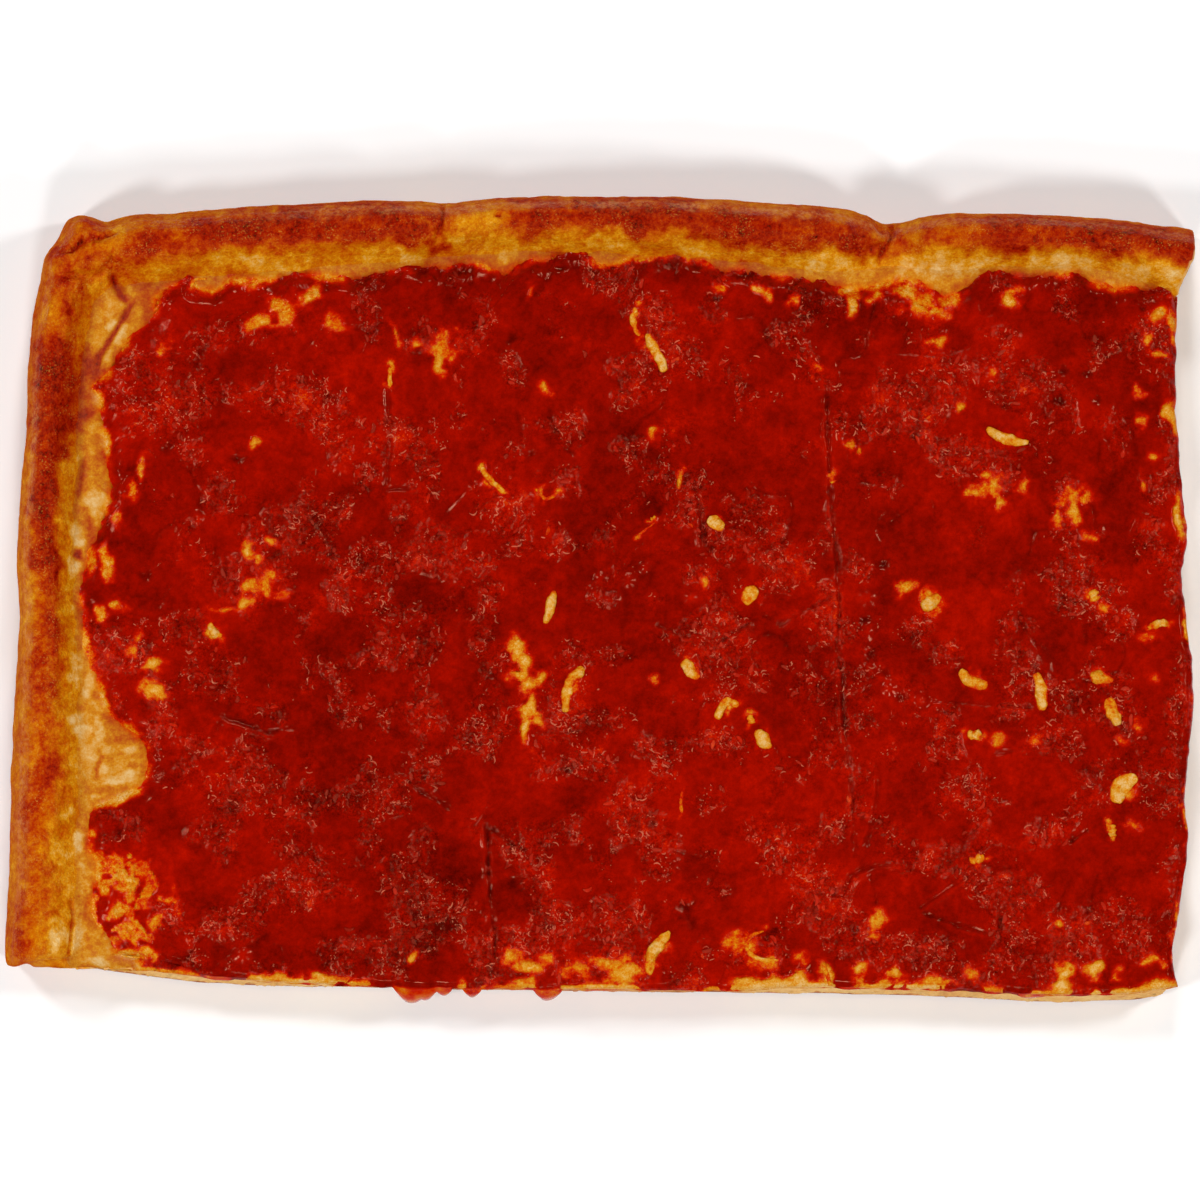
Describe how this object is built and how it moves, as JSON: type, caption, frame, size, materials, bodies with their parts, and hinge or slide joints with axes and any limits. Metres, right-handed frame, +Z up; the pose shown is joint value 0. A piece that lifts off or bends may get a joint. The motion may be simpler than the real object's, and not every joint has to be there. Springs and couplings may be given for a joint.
{
  "type": "square pizza",
  "caption": "Flat slab of baked dough with a raised browned rim on two sides, two cut sides, a layer of tomato sauce and shreds of melted cheese.",
  "frame": {"origin": "middle of the underside's bounding rectangle, on the surface that the pizza lies on", "axes": "+X along the long side, from the short rim to the short cut; +Y towards the long rim; +Z up"},
  "size_m": [0.3276, 0.2232, 0.0264],
  "materials": {
    "crust": "browned bread crust, pale crumb at the cuts",
    "cheese": "melted cheese",
    "sauce": "wet tomato sauce"
  },
  "bodies": {
    "root": {"bread": "crust", "cheese_layer": "cheese", "tomato_sauce": "sauce", "cheese_shred_01": "cheese", "cheese_shred_02": "cheese", "cheese_shred_03": "cheese", "cheese_shred_04": "cheese", "cheese_shred_05": "cheese", "cheese_shred_06": "cheese", "cheese_shred_07": "cheese", "cheese_shred_08": "cheese", "cheese_shred_09": "cheese", "cheese_shred_10": "cheese", "cheese_shred_11": "cheese", "cheese_shred_12": "cheese", "cheese_shred_13": "cheese", "cheese_shred_14": "cheese", "cheese_shred_15": "cheese", "cheese_shred_16": "cheese"}
  },
  "joints": []
}
